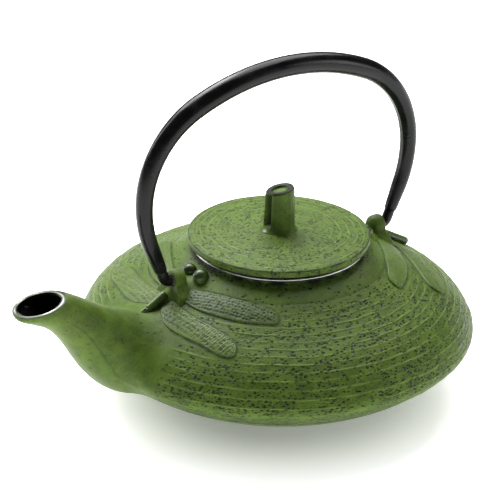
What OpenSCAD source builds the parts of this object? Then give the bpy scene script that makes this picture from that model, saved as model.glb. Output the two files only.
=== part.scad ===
// Flat cast iron teapot with a swinging bail, a lift-off lid and a lift-out steel infuser.
// Millimetres. The base stands on z = 0 and the pot's axis is Z. The spout points along +X,
// and the bail turns about a line along X through both lugs.

/* [Pot] */
// Widest radius of the pot, at its belly
belly_r = 93.2; // [80:0.1:100]
// Height of the pot's rim above the base
rim_z = 72.3; // [60:0.1:90]
// Radius of the round port where the spout leaves the pot
port_r = 12; // [8:0.5:15]

/* [Spout] */
// Half length of the spout's oval mouth
mouth_half_l = 12.6; // [9:0.1:16]
// Half width of the spout's oval mouth
mouth_half_w = 10.1; // [7:0.1:13]

/* [Lugs and reliefs] */
// Distance of each lug's middle from the pot's axis
lug_x = 55.8; // [53:0.1:59]
// Height of the bail's pivot line above the base
pivot_z = 68.3; // [64:0.1:74]
// Thickness of each lug along the pivot line
lug_t = 7; // [5:0.1:9]
// Outer radius of each lug's eye
lug_r = 4.9; // [4:0.1:8]
// Radius of the eye's bore
eye_r = 2.6; // [2:0.05:4]
// Thickness of the wall that closes each eye on the side of the lid
eye_wall = 1.6; // [1:0.1:3]
// Height of the raised wings over the pot's surface
wing_h = 1.1; // [0.5:0.1:2]

/* [Lid] */
// Radius of the lid
lid_r = 42.5; // [38:0.1:48]
// Height of the lid's outer top edge above the base
lid_edge_z = 78; // [74:0.1:84]
// Rise of the lid's middle over its edge
lid_dome_h = 2.2; // [0:0.1:5]
// Radius of the knob at its foot
knob_r = 7; // [5:0.1:10]
// Height of the knob over the lid's middle
knob_h = 20; // [10:0.1:26]

/* [Infuser] */
// Outer radius of the infuser's flange
flange_r = 40.5; // [38:0.1:42]
// Thickness of the flange
flange_t = 0.8; // [0.5:0.1:1.5]
// Outer radius of the infuser's collar
collar_r = 34.2; // [30:0.1:35]
// Height of the infuser's floor above the base
infuser_floor_z = 26; // [18:0.5:40]

/* [Bail] */
// Half thickness of the bail's tube at its crown
tube_r = 5; // [3:0.1:6]
// Half thickness of the tube along its legs
leg_tube_r = 4; // [3:0.1:6]
// Half thickness of the tube where it meets the hook
leg_end_r = 3; // [2.5:0.1:4]
// Running clearance of the hook's peg in the eye
peg_clearance = 0.05; // [0.02:0.01:0.1]

/* [Hidden] */
$fn = 64;
iron_green = [0.36, 0.47, 0.2];
steel_grey = [0.75, 0.76, 0.77];
enamel_black = [0.03, 0.03, 0.035];

// ---- Smooth curve through a short list of points ----
function span_point(a, b, c, d, t) =
    0.5 * (2 * b + (c - a) * t + (2 * a - 5 * b + 4 * c - d) * t * t
        + (3 * b - a - 3 * c + d) * t * t * t);
function smooth(p, steps) = [
    for (i = [0 : len(p) - 2])
        for (s = [0 : steps - 1])
            span_point(p[max(i - 1, 0)], p[i], p[i + 1], p[min(i + 2, len(p) - 1)], s / steps),
    p[len(p) - 1]];

function closed(p, steps) = [
    for (i = [0 : len(p) - 1])
        for (s = [0 : steps - 1])
            let (n = len(p))
                span_point(p[(i + n - 1) % n], p[i], p[(i + 1) % n], p[(i + 2) % n], s / steps)];

// ---- Pot outline, as shares of the belly radius and of the rim height, base to rim ----
outer_shape = [
    [0.44, 0], [0.467, 0.024], [0.536, 0.065], [0.628, 0.118], [0.73, 0.177],
    [0.826, 0.246], [0.907, 0.32], [0.965, 0.386], [1, 0.445], [0.99, 0.506],
    [0.955, 0.58], [0.901, 0.653], [0.832, 0.716], [0.739, 0.777], [0.637, 0.842],
    [0.549, 0.903], [0.485, 0.949], [0.444, 0.971], [0.427, 0.985], [0.425, 1]
];
inner_shape = [
    [0.416, 0.069], [0.455, 0.083], [0.523, 0.119], [0.617, 0.17], [0.72, 0.23],
    [0.818, 0.292], [0.892, 0.355], [0.939, 0.409], [0.955, 0.45], [0.945, 0.497],
    [0.914, 0.562], [0.865, 0.625], [0.797, 0.68], [0.709, 0.733], [0.613, 0.79],
    [0.524, 0.848], [0.456, 0.889], [0.407, 0.918], [0.386, 0.945], [0.381, 1]
];
function sized(shape) = [for (p = shape) [p[0] * belly_r, p[1] * rim_z]];
outer_curve = smooth(sized(outer_shape), 3);
inner_curve = smooth(sized(inner_shape), 3);
middle_curve = smooth(sized((outer_shape + inner_shape) / 2), 3);

// The outer curve pushed out along its own normal
function pushed(p, d) = [
    for (i = [0 : len(p) - 1])
        let (a = p[max(i - 1, 0)], b = p[min(i + 1, len(p) - 1)], t = (b - a) / norm(b - a))
            p[i] + d * [t[1], -t[0]]];

module turned(curve) {
    rotate_extrude()
        polygon(concat([[0, curve[0][1]]], curve, [[0, curve[len(curve) - 1][1]]]));
}

// ---- Spout sections: top point, bottom point and half width, mouth to root ----
spout_sections = [
    [[128 - 0.986 * mouth_half_l, 76.7], [128 + 0.986 * mouth_half_l, 72.5], mouth_half_w],
    [[113.4, 75.9], [139.2, 69.6], mouth_half_w + 0.2],
    [[110.2, 74.2], [133.4, 66.6], 10.2],
    [[106.0, 71.7], [126.2, 62.8], 10.2],
    [[101.2, 68.7], [120.2, 57.2], 10.8],
    [[96.0, 65.5], [115.4, 50.4], 11.9],
    [[90.6, 62.5], [111.0, 43.0], 13.6],
    [[85.0, 59.9], [106.2, 35.6], 15.8],
    [[79.4, 57.6], [100.2, 28.6], 18.2],
    [[73.6, 55.4], [93.0, 23.0], 20.4],
    [[67.0, 53.0], [84.0, 19.4], 22.0]];
// Share of each section that is hollow
channel_share = [0.82, 0.82, 0.81, 0.8, 0.78, 0.76, 0.73, 0.69, 0.63, 0.56, 0.48];
ring_n = 32;
function ring_at(s, share) =
    let (c = (s[0] + s[1]) / 2, h = (s[0] - s[1]) / 2 * share, w = s[2] * share)
        [for (k = [0 : ring_n - 1])
            let (a = -360 * k / ring_n)
                [c[0] + h[0] * cos(a), w * sin(a), c[1] + h[1] * cos(a)]];

// Middle of a ring of points
function middle(ring) = [for (axis = [0 : 2]) (min([for (p = ring) p[axis]]) + max([for (p = ring) p[axis]])) / 2];

// Closed skin over a list of rings, with a fan of triangles over each end
module skinned(rings) {
    n = len(rings);
    count = len(rings[0]);
    points = concat([for (r = rings) each r], [middle(rings[0]), middle(rings[n - 1])]);
    walls = [
        for (i = [0 : n - 2])
            for (k = [0 : count - 1])
                let (a = i * count + k, b = i * count + (k + 1) % count)
                    each [[a, b, b + count], [a, b + count, a + count]]];
    first = [for (k = [0 : count - 1]) [(k + 1) % count, k, n * count]];
    top = (n - 1) * count;
    last = [for (k = [0 : count - 1]) [top + k, top + (k + 1) % count, n * count + 1]];
    polyhedron(points = points, faces = concat(first, walls, last));
}

module port_cut() {
    translate([60, 0, 32])
        rotate([0, 90 - 14, 0])
            cylinder(r = port_r, h = 42);
}

module pot_body() {
    color(iron_green)
        difference() {
            rotate_extrude()
                polygon(concat(
                    [[0, 0]], outer_curve,
                    [for (i = [len(inner_curve) - 1 : -1 : 0]) inner_curve[i]],
                    [[0, inner_shape[0][1] * rim_z]]));
            port_cut();
            translate([0, 0, -1])
                difference() {
                    cylinder(r = 35, h = 2);
                    translate([0, 0, -1])
                        cylinder(r = 29, h = 4);
                }
        }
}

module spout() {
    last = len(spout_sections) - 1;
    lip = spout_sections[0];
    root = spout_sections[last];
    above = [lip[0] + [0.4, 2.4], lip[1] + [0.4, 2.4], lip[2]];
    inside = [root[0] + [-16, -7], root[1] + [-16, -7], root[2]];
    color(iron_green)
        difference() {
            skinned([for (s = spout_sections) ring_at(s, 1)]);
            skinned(concat(
                [ring_at(above, channel_share[0])],
                [for (i = [0 : last]) ring_at(spout_sections[i], channel_share[i])],
                [ring_at(inside, channel_share[last])]));
            turned(middle_curve);
        }
}

// ---- One lug with its eye on the pivot line, on the +X side ----
module lug() {
    difference() {
        union() {
            translate([lug_x - lug_t / 2, 0, pivot_z])
                rotate([0, 90, 0])
                    cylinder(r = lug_r, h = lug_t);
            translate([lug_x - lug_t / 2, -lug_r * 0.86, pivot_z - 13])
                cube([lug_t, lug_r * 1.72, 11]);
            translate([lug_x + 1.8, 0, pivot_z - 12.5])
                sphere(r = 8.4);
        }
        translate([lug_x - lug_t / 2 + eye_wall, 0, pivot_z])
            rotate([0, 90, 0])
                cylinder(r = eye_r, h = 16);
        // Room for the hook to swing round outside the eye
        translate([lug_x + lug_t / 2, 0, pivot_z])
            rotate([0, 90, 0])
                cylinder(r = 4.2, h = 12);
        turned(middle_curve);
    }
}

// ---- Dragonfly relief on the +X side, wings mirrored over the spout's line ----
fore_wing = [
    [53, 4.4], [50.4, 10], [46.4, 18], [41.6, 27], [35.8, 36.4], [31.9, 42.4], [31.6, 47],
    [34.6, 49.2], [40, 45.4], [47, 38.4], [53.2, 28.6], [57, 19.6], [58.4, 11.4], [57.6, 4.4]];
hind_wing = [
    [60.6, 4], [60.6, 13], [59.4, 22], [56.9, 32], [54.3, 42], [54.5, 47.6], [57.4, 50.6],
    [61, 49.2], [64.2, 43.6], [67, 34.6], [70.2, 24], [71.4, 15], [70.2, 9], [66.8, 3]];

module wing_prism(outline) {
    translate([0, 0, 40])
        linear_extrude(height = 32)
            polygon(closed(outline, 2));
}

module dragonfly() {
    difference() {
        intersection() {
            turned(pushed(outer_curve, wing_h));
            for (side = [0, 1])
                mirror([0, side, 0]) {
                    wing_prism(fore_wing);
                    wing_prism(hind_wing);
                }
        }
        turned(pushed(outer_curve, -0.5));
    }
}

// ---- Head with two eyes, and the tail, on the +X side ----
module head_and_tail() {
    difference() {
        union() {
            for (side = [-1, 1])
                translate([46.6, 5.2 * side, 69.6])
                    sphere(r = 2.9);
            translate([48.4, 0, 66.9])
                sphere(r = 3.4);
            translate([62.2, 0, 60.6])
                rotate([0, 90 + 31, 0]) {
                    cylinder(r = 2.1, h = 14);
                    translate([0, 0, 14])
                        cylinder(r1 = 2.1, r2 = 1.1, h = 1.3);
                }
        }
        turned(middle_curve);
    }
}

module front_lug() {
    color(iron_green)
        lug();
}

module rear_lug() {
    color(iron_green)
        mirror([1, 0, 0])
            lug();
}

module front_dragonfly() {
    color(iron_green)
        union() {
            dragonfly();
            head_and_tail();
        }
}

module rear_dragonfly() {
    color(iron_green)
        mirror([1, 0, 0])
            union() {
                dragonfly();
                head_and_tail();
            }
}

// ---- Lid: domed disc with a step that sits on the flange and a skirt inside the infuser ----
seat_z = rim_z + flange_t;
dome_sphere_r = (lid_r * lid_r + lid_dome_h * lid_dome_h) / (2 * lid_dome_h);
function dome_z(r) = lid_edge_z + lid_dome_h - dome_sphere_r + sqrt(pow(dome_sphere_r, 2) - r * r);

module lid() {
    top = [for (i = [0 : 12]) let (r = (lid_r - 0.7) * i / 12) [r, dome_z(r)]];
    color(iron_green)
        rotate_extrude()
            polygon(concat(top, [
                [lid_r - 0.2, lid_edge_z - 0.3], [lid_r, lid_edge_z - 0.8],
                [lid_r, lid_edge_z - 2.8], [lid_r - 0.6, lid_edge_z - 3.3],
                [lid_r - 3.3, lid_edge_z - 3.3], [lid_r - 3.3, seat_z],
                [collar_r - 1.3, seat_z], [collar_r - 1.3, seat_z - 6.5],
                [collar_r - 2.9, seat_z - 6.5], [collar_r - 2.9, seat_z - 0.5],
                [collar_r - 5, seat_z + 1.4], [0, seat_z + 2.6]]));
}

module lid_knob() {
    foot_z = lid_edge_z + lid_dome_h - 0.8;
    top_z = lid_edge_z + lid_dome_h + knob_h;
    color(iron_green)
        difference() {
            union() {
                translate([0, 0, foot_z])
                    cylinder(r1 = knob_r + 0.2, r2 = knob_r - 0.5, h = knob_h + 3);
                translate([0, 0, foot_z])
                    cylinder(r1 = knob_r + 1.6, r2 = knob_r - 0.2, h = 2);
            }
            // Slanted top
            translate([0, 0, top_z])
                rotate([0, -11, 145])
                    translate([-15, -15, 0])
                        cube([30, 30, 12]);
            // Shallow hollow in the cut end
            translate([0, 0, top_z])
                rotate([0, -11, 145])
                    translate([0, 0, -1.2])
                        cylinder(r = knob_r - 2.3, h = 6);
            // Groove of the split stem, down the side that faces the spout
            rotate([0, 0, 2])
                translate([knob_r + 0.6, 0, foot_z + 4])
                    cylinder(r = 1.9, h = knob_h + 4);
        }
}

// ---- Steel infuser ----
module infuser_rim() {
    color(steel_grey)
        rotate_extrude()
            polygon([
                [collar_r - 0.8, seat_z], [flange_r - 0.2, seat_z], [flange_r, seat_z - 0.2],
                [flange_r, rim_z + 0.2], [flange_r - 0.2, rim_z], [collar_r, rim_z],
                [collar_r, rim_z - 10], [collar_r - 0.8, rim_z - 10]]);
}

module infuser_wall() {
    color(steel_grey)
        translate([0, 0, infuser_floor_z + 0.6])
            difference() {
                cylinder(r = collar_r - 0.2, h = rim_z - 7 - infuser_floor_z);
                translate([0, 0, -1])
                    cylinder(r = collar_r - 0.6, h = rim_z);
            }
}

module infuser_floor() {
    color(steel_grey)
        translate([0, 0, infuser_floor_z])
            difference() {
                cylinder(r = collar_r, h = 2.4);
                translate([0, 0, 0.8])
                    cylinder(r = collar_r - 0.8, h = 3);
            }
}

// ---- Bail: one wide arc, two shoulder arcs, two leg arcs and two straight, tapered ends ----
crown_r = 112;
crown_turn = 24.3;
apex_z = 160.2;
shoulder_r = 46.9;
leg_r = 56;
leg_lean = 22;
crown_end = [crown_r * sin(crown_turn), apex_z - crown_r * (1 - cos(crown_turn))];
shoulder_c = crown_end - shoulder_r * [sin(crown_turn), cos(crown_turn)];
leg_c = [shoulder_c[0] + shoulder_r - leg_r, shoulder_c[1]];
leg_top = leg_c + leg_r * [cos(leg_lean), -sin(leg_lean)];
leg_dir = [-sin(leg_lean), -cos(leg_lean)];
leg_run = (leg_top[1] - pivot_z) / cos(leg_lean);
elbow = leg_top + leg_run * leg_dir;
tube_run = leg_run - 6.4;
shank_r = 2.1;

// Stations along the tube: [x, z, direction of its outer side, half thickness], foot to crown
function on_arc(c, r, a, t) = [c[0] + r * cos(a), c[1] + r * sin(a), a, t];
leg_end = leg_top + tube_run * leg_dir;
half_bail = concat(
    [[leg_end[0], leg_end[1], -leg_lean, leg_end_r]],
    [for (a = [-leg_lean : 5.5 : -5.5]) on_arc(leg_c, leg_r, a, leg_tube_r + 0.3 * a / leg_lean)],
    [for (k = [0 : 9])
        on_arc(shoulder_c, shoulder_r, k * (90 - crown_turn) / 10, leg_tube_r + (tube_r - leg_tube_r) * k / 10)],
    [for (k = [0 : 6]) on_arc([0, apex_z - crown_r], crown_r, 90 - crown_turn + k * crown_turn / 7, tube_r)]);
crown_mid = [[0, apex_z, 90, tube_r]];
function mirrored(s) = [-s[0], s[1], 180 - s[2], s[3]];
bail_line = concat(
    half_bail, crown_mid, [for (i = [len(half_bail) - 1 : -1 : 0]) mirrored(half_bail[i])]);

module bail() {
    socket = leg_top + (tube_run - 8) * leg_dir;
    color(enamel_black)
        difference() {
            skinned([
                for (s = bail_line)
                    [for (k = [0 : 19])
                        let (a = -18 * k)
                            [s[0] + s[3] * cos(a) * cos(s[2]), s[3] * sin(a), s[1] + s[3] * cos(a) * sin(s[2])]]]);
            for (side = [0, 1])
                mirror([side, 0, 0])
                    leg_bar(socket, shank_r - 0.05, 12);
        }
}

// A straight round bar in the XZ plane, from p down along the leg
module leg_bar(p, bar_r, length) {
    translate([p[0], 0, p[1]])
        rotate([0, 180 + leg_lean, 0])
            cylinder(r = bar_r, h = length);
}

// ---- Hook: shank in the leg, elbow, and peg in the eye ----
module hook() {
    peg_r = eye_r - peg_clearance;
    peg_end_x = lug_x - lug_t / 2 + eye_wall + 0.2;
    union() {
        leg_bar(leg_top + (tube_run - 7.5) * leg_dir, shank_r, leg_run - tube_run + 7.5);
        leg_bar(leg_end, peg_r, leg_run - tube_run);
        translate([elbow[0], 0, elbow[1]])
            sphere(r = peg_r + 0.25);
        translate([peg_end_x, 0, pivot_z])
            rotate([0, 90, 0])
                cylinder(r = peg_r, h = elbow[0] - peg_end_x);
    }
}

module front_hook() {
    color(enamel_black)
        hook();
}

module rear_hook() {
    color(enamel_black)
        mirror([1, 0, 0])
            hook();
}

pot_body();
spout();
front_lug();
rear_lug();
front_dragonfly();
rear_dragonfly();
lid();
lid_knob();
infuser_rim();
infuser_wall();
infuser_floor();
bail();
front_hook();
rear_hook();
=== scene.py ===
import math

import bpy
import numpy as np
from mathutils import Matrix, Vector


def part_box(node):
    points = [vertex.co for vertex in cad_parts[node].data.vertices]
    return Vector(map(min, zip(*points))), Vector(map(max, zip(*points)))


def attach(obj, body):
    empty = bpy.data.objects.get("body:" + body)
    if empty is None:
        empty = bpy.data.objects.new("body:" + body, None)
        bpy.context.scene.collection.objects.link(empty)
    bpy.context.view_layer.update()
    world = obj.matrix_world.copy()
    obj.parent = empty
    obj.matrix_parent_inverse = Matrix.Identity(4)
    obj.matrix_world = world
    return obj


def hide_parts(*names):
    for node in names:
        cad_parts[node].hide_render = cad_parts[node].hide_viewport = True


# Cast iron teapot. Sizes below are millimetres in the CAD row frame unless a name says otherwise.
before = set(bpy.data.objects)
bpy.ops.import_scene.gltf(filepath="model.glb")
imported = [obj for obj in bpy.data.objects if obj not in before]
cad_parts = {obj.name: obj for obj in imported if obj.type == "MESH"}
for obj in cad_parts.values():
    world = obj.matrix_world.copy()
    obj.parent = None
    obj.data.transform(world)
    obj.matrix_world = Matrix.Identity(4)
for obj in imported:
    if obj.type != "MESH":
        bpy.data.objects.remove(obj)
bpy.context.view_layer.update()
MM = 0.001

# ---- Sizes shared with the CAD part, read from its boxes where they can be ----
POT_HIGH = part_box("pot_body")[1]
BELLY_R = POT_HIGH.x / MM
RIM_Z = POT_HIGH.z / MM
LID_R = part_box("lid")[1].x / MM
LID_TOP_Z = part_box("lid")[1].z / MM
KNOB_TOP_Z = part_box("lid_knob")[1].z / MM
LUG_X = 57.0
PIVOT_Z = 68.3
LUG_HALF = 2.3
LUG_R = 4.9
LID_EDGE_Z = 78.0
SEAT_Z = 73.1
COLLAR_R = 34.2
FLANGE_R = 40.5
WALL_LOW_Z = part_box("infuser_wall")[0].z / MM
WALL_HIGH_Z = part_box("infuser_wall")[1].z / MM
FLOOR_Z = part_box("infuser_floor")[0].z / MM


# ---- Small mathematics ----
def smoothstep(low, high, x):
    t = np.clip((np.asarray(x, float) - low) / (high - low), 0, 1)
    return t * t * (3 - 2 * t)


def catmull(points, steps, closed=False):
    """Smooth curve through a short list of points."""
    p = np.array(points, float)
    n = len(p)
    made = []
    for i in range(n if closed else n - 1):
        if closed:
            a, b, c, d = p[i - 1], p[i], p[(i + 1) % n], p[(i + 2) % n]
        else:
            a, b, c, d = p[max(i - 1, 0)], p[i], p[i + 1], p[min(i + 2, n - 1)]
        for k in range(steps):
            t = k / steps
            made.append(0.5 * (2 * b + (c - a) * t + (2 * a - 5 * b + 4 * c - d) * t * t
                               + (3 * b - a - 3 * c + d) * t ** 3))
    if not closed:
        made.append(p[-1])
    return np.array(made)


def arclength(p):
    return np.concatenate([[0], np.cumsum(np.linalg.norm(np.diff(p, axis=0), axis=1))])


def bell(x, width):
    return np.exp(-(x / width) ** 2)


def turn_steps(n):
    """Angles of n equal steps of a full turn."""
    return np.arange(n) * 2 * math.pi / n


def near(r, z, steps):
    """Profile points given as steps from the point (r, z)."""
    return [(r + dr, z + dz) for dr, dz in steps]


class Wave:
    """A smooth random function of an angle, the same on every run."""

    def __init__(self, seed, low=2, high=9):
        rng = np.random.default_rng(seed)
        self.n = np.arange(low, high + 1)
        self.a = rng.normal(size=len(self.n)) / np.sqrt(len(self.n))
        self.p = rng.uniform(0, 2 * math.pi, len(self.n))

    def __call__(self, angle):
        angle = np.asarray(angle, float)
        return (self.a * np.sin(angle[..., None] * self.n + self.p)).sum(-1)


# ---- Mesh building ----
def grid_faces(rows, cols, around):
    """Quads of a grid of rows by cols; around joins the last column to the first."""
    i = np.arange(rows - 1)[:, None]
    j = np.arange(cols if around else cols - 1)[None, :]
    k = (j + 1) % cols
    return np.stack([i * cols + j, i * cols + k, (i + 1) * cols + k, (i + 1) * cols + j], -1).reshape(-1, 4)


class Build:
    """Gathers grids, fans and their paint values, then makes one mesh object."""

    def __init__(self):
        self.points = []
        self.faces = []
        self.paint = {"crest": [], "dark": [], "worn": [], "calm": []}
        self.count = 0

    def add(self, points, faces, flip=False, **paint):
        points = np.asarray(points, float).reshape(-1, 3)
        for f in faces:
            f = [int(v) + self.count for v in f]
            self.faces.append(f[::-1] if flip else f)
        self.points.append(points)
        for key, values in self.paint.items():
            given = paint.get(key)
            values.append(np.zeros(len(points)) if given is None
                          else np.broadcast_to(np.asarray(given, float).ravel(), (len(points),)))
        self.count += len(points)

    def grid(self, points, around=True, flip=False, keep=None, **paint):
        rows, cols = points.shape[:2]
        faces = grid_faces(rows, cols, around)
        if keep is not None:
            faces = faces[keep(points.reshape(-1, 3)[faces].mean(1))]
        self.add(points, faces, flip, **paint)

    def cap(self, ring, flip=False, **paint):
        """Closes a ring with a fan to its middle point."""
        n = len(ring)
        points = np.vstack([ring, ring.mean(0)])
        self.add(points, [(k, (k + 1) % n, n) for k in range(n)], flip, **paint)

    def make(self, name, body, material, replaces=()):
        mesh = bpy.data.meshes.new(name)
        points = np.vstack(self.points) * MM
        mesh.from_pydata(points.tolist(), [], self.faces)
        for key, values in self.paint.items():
            layer = mesh.attributes.new(key, "FLOAT", "POINT")
            layer.data.foreach_set("value", np.concatenate(values).astype(np.float32))
        mesh.validate()
        mesh.polygons.foreach_set("use_smooth", np.ones(len(mesh.polygons), bool))
        piece = bpy.data.objects.new(name, mesh)
        bpy.context.scene.collection.objects.link(piece)
        mesh.materials.append(material)
        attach(piece, body)
        if replaces:
            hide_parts(*replaces)
        return piece


def turned(profile, cols):
    """Grid of a profile of (radius, height) turned about Z: rows follow the profile."""
    profile = np.asarray(profile, float)
    a = turn_steps(cols)
    r = profile[:, 0][:, None]
    z = np.broadcast_to(profile[:, 1][:, None], (len(profile), cols))
    return np.stack([r * np.cos(a), r * np.sin(a), z], -1)


def swept(path, radii, sides):
    """Rings along a path in the plane at right angles to Y."""
    path = np.asarray(path, float)
    along = np.gradient(path, axis=0)
    along /= np.linalg.norm(along, axis=1)[:, None]
    side = np.array([0.0, 1.0, 0.0])
    out = np.cross(side, along)
    a = turn_steps(sides)
    r = np.asarray(radii, float)[:, None, None]
    return path[:, None, :] + r * (np.cos(a)[None, :, None] * out[:, None, :]
                                   + np.sin(a)[None, :, None] * side[None, None, :])


# ---- Materials ----
class Nodes:
    """Short names for the shader nodes that the materials below are built from."""

    def __init__(self, name):
        self.material = bpy.data.materials.new(name)
        self.material.use_nodes = True
        self.tree = self.material.node_tree
        self.shader = self.tree.nodes["Principled BSDF"]
        self.where = self.tree.nodes.new("ShaderNodeTexCoord").outputs["Object"]

    def link(self, a, b):
        self.tree.links.new(a, b)

    def put(self, socket, value):
        if hasattr(value, "is_linked"):
            self.link(value, socket)
        else:
            socket.default_value = value

    def node(self, kind, **settings):
        n = self.tree.nodes.new(kind)
        for key, value in settings.items():
            setattr(n, key, value)
        return n

    def scaled(self, x, y, z):
        n = self.node("ShaderNodeMapping")
        n.inputs["Scale"].default_value = (x, y, z)
        self.link(self.where, n.inputs["Vector"])
        return n.outputs["Vector"]

    def noise(self, scale, detail=3.0, rough=0.55, vector=None):
        n = self.node("ShaderNodeTexNoise")
        n.inputs["Scale"].default_value = scale
        n.inputs["Detail"].default_value = detail
        n.inputs["Roughness"].default_value = rough
        self.link(vector or self.where, n.inputs["Vector"])
        return n.outputs["Fac"]

    def cells(self, scale, vector=None):
        n = self.node("ShaderNodeTexVoronoi", feature="F1")
        n.inputs["Scale"].default_value = scale
        n.inputs["Randomness"].default_value = 1.0
        self.link(vector or self.where, n.inputs["Vector"])
        return n.outputs["Distance"], n.outputs["Color"]

    def ramp(self, value, low, high, first=0.0, last=1.0):
        n = self.node("ShaderNodeMapRange", interpolation_type="SMOOTHSTEP")
        self.put(n.inputs["Value"], value)
        self.put(n.inputs["From Min"], low)
        self.put(n.inputs["From Max"], high)
        self.put(n.inputs["To Min"], first)
        self.put(n.inputs["To Max"], last)
        return n.outputs["Result"]

    def math(self, how, a, b=0.0):
        n = self.node("ShaderNodeMath", operation=how)
        self.put(n.inputs[0], a)
        self.put(n.inputs[1], b)
        return n.outputs[0]

    def mix(self, share, a, b):
        n = self.node("ShaderNodeMix", data_type="RGBA")
        self.put(n.inputs["Factor"], share)
        for socket, value in ((n.inputs[6], a), (n.inputs[7], b)):
            if isinstance(value, tuple):
                socket.default_value = (*value, 1.0)
            else:
                self.link(value, socket)
        return n.outputs[2]

    def split(self, colour):
        n = self.node("ShaderNodeSeparateColor")
        self.link(colour, n.inputs[0])
        return n.outputs[0], n.outputs[1]

    def paint(self, name):
        return self.node("ShaderNodeAttribute", attribute_name=name).outputs["Fac"]

    def bump(self, height, distance, strength=1.0, below=None):
        n = self.node("ShaderNodeBump")
        n.inputs["Strength"].default_value = strength
        n.inputs["Distance"].default_value = distance
        self.link(height, n.inputs["Height"])
        if below is not None:
            self.link(below, n.inputs["Normal"])
        return n.outputs["Normal"]


GREEN_MID = (0.094, 0.161, 0.021)
GREEN_LIGHT = (0.158, 0.250, 0.041)
GREEN_DEEP = (0.060, 0.106, 0.014)
GREEN_BLACK = (0.006, 0.010, 0.005)
BRONZE_GREEN = (0.116, 0.152, 0.023)


def green_iron(name, pits=1.0, stipple=1.0, gloss=0.0, pit_scale=620.0, flat=1.0):
    """Green lacquer over cast iron: light crests, dark pits, fine grain and worn edges."""
    m = Nodes(name)
    crest = m.paint("crest")
    dark = m.paint("dark")
    worn = m.paint("worn")
    rough_skin = m.math("SUBTRACT", 1.0, m.paint("calm"))
    broad = m.noise(28.0, 3.0)
    patch = m.noise(140.0, 4.0, 0.6)
    grain = m.noise(1500.0, 4.0, 0.65)
    colour = m.mix(m.ramp(patch, 0.36, 0.66), GREEN_DEEP, GREEN_MID)
    colour = m.mix(m.ramp(broad, 0.45, 0.75, 0.0, 0.35), colour, BRONZE_GREEN)
    colour = m.mix(m.ramp(grain, 0.45, 0.75, 0.0, 0.45), colour, GREEN_LIGHT)
    colour = m.mix(m.math("MULTIPLY", crest, 0.85), colour, GREEN_LIGHT)
    # Dark pits, flatter than they are wide, more in some places than in others
    distance, random = m.cells(pit_scale, m.scaled(1.0, 1.0, flat))
    luck, size = m.split(random)
    crowd = m.ramp(m.noise(60.0, 2.0), 0.33, 0.64, 0.45 * pits, 1.0 * pits)
    here = m.math("LESS_THAN", luck, m.math("MULTIPLY", crowd, rough_skin))
    reach = m.ramp(size, 0.0, 1.0, 0.26, 0.68)
    pit = m.math("MULTIPLY", m.ramp(m.math("DIVIDE", distance, reach), 0.55, 1.0, 1.0, 0.0), here)
    pit = m.math("MULTIPLY", pit, m.math("SUBTRACT", 1.0, m.math("MULTIPLY", crest, 0.9)))
    small, chance = m.cells(1250.0)
    speck = m.math("MULTIPLY", m.ramp(small, 0.12, 0.34, 1.0, 0.0),
                   m.math("LESS_THAN", m.split(chance)[0], 0.42 * stipple))
    speck = m.math("MULTIPLY", speck, m.math("MULTIPLY", rough_skin, 0.6 * stipple))
    shade = m.math("MAXIMUM", m.math("MULTIPLY", pit, 0.92 * min(1.0, pits + 0.2)), speck)
    shade = m.math("MAXIMUM", shade, dark)
    colour = m.mix(shade, colour, GREEN_BLACK)
    colour = m.mix(worn, colour, (0.42, 0.43, 0.42))
    m.link(colour, m.shader.inputs["Base Color"])
    rough = m.ramp(patch, 0.3, 0.7, 0.40 - 0.16 * gloss, 0.54 - 0.2 * gloss)
    m.link(m.math("SUBTRACT", rough, m.math("MULTIPLY", worn, 0.18)), m.shader.inputs["Roughness"])
    m.link(m.math("MULTIPLY", worn, 0.8), m.shader.inputs["Metallic"])
    normal = m.bump(grain, 0.00016, 0.55)
    normal = m.bump(patch, 0.0005, 0.35, normal)
    hollow = m.math("SUBTRACT", 1.0, m.math("MAXIMUM", pit, speck))
    m.link(m.bump(hollow, 0.00035, 0.8, normal), m.shader.inputs["Normal"])
    m.shader.inputs["Specular IOR Level"].default_value = 0.17 + 0.22 * gloss
    return m.material


def black_enamel(name, rough_low=0.16, rough_high=0.3):
    """Black gloss lacquer with a slight orange peel and faint dust-dull patches."""
    m = Nodes(name)
    patch = m.noise(90.0, 3.0)
    peel = m.noise(700.0, 2.0, 0.5)
    colour = m.mix(m.ramp(patch, 0.4, 0.7), (0.004, 0.004, 0.0043), (0.008, 0.008, 0.0085))
    colour = m.mix(m.paint("worn"), colour, (0.3, 0.3, 0.3))
    m.link(colour, m.shader.inputs["Base Color"])
    m.link(m.ramp(patch, 0.3, 0.7, rough_low, rough_high), m.shader.inputs["Roughness"])
    m.shader.inputs["Specular IOR Level"].default_value = 0.22
    m.link(m.bump(peel, 0.0001, 0.35), m.shader.inputs["Normal"])
    return m.material


def infuser_steel(name, rough_low=0.16, rough_high=0.3):
    """Pressed stainless steel with faint turning lines and fine scratches."""
    m = Nodes(name)
    lines = m.noise(260.0, 3.0, 0.6, m.scaled(1.0, 1.0, 14.0))
    scratch = m.noise(2200.0, 2.0, 0.6, m.scaled(1.0, 0.06, 1.0))
    colour = m.mix(m.ramp(lines, 0.35, 0.7), (0.60, 0.60, 0.59), (0.78, 0.78, 0.77))
    m.link(colour, m.shader.inputs["Base Color"])
    m.shader.inputs["Metallic"].default_value = 1.0
    m.link(m.ramp(lines, 0.3, 0.7, rough_low, rough_high), m.shader.inputs["Roughness"])
    m.link(m.bump(scratch, 0.00005, 0.3), m.shader.inputs["Normal"])
    return m.material


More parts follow.
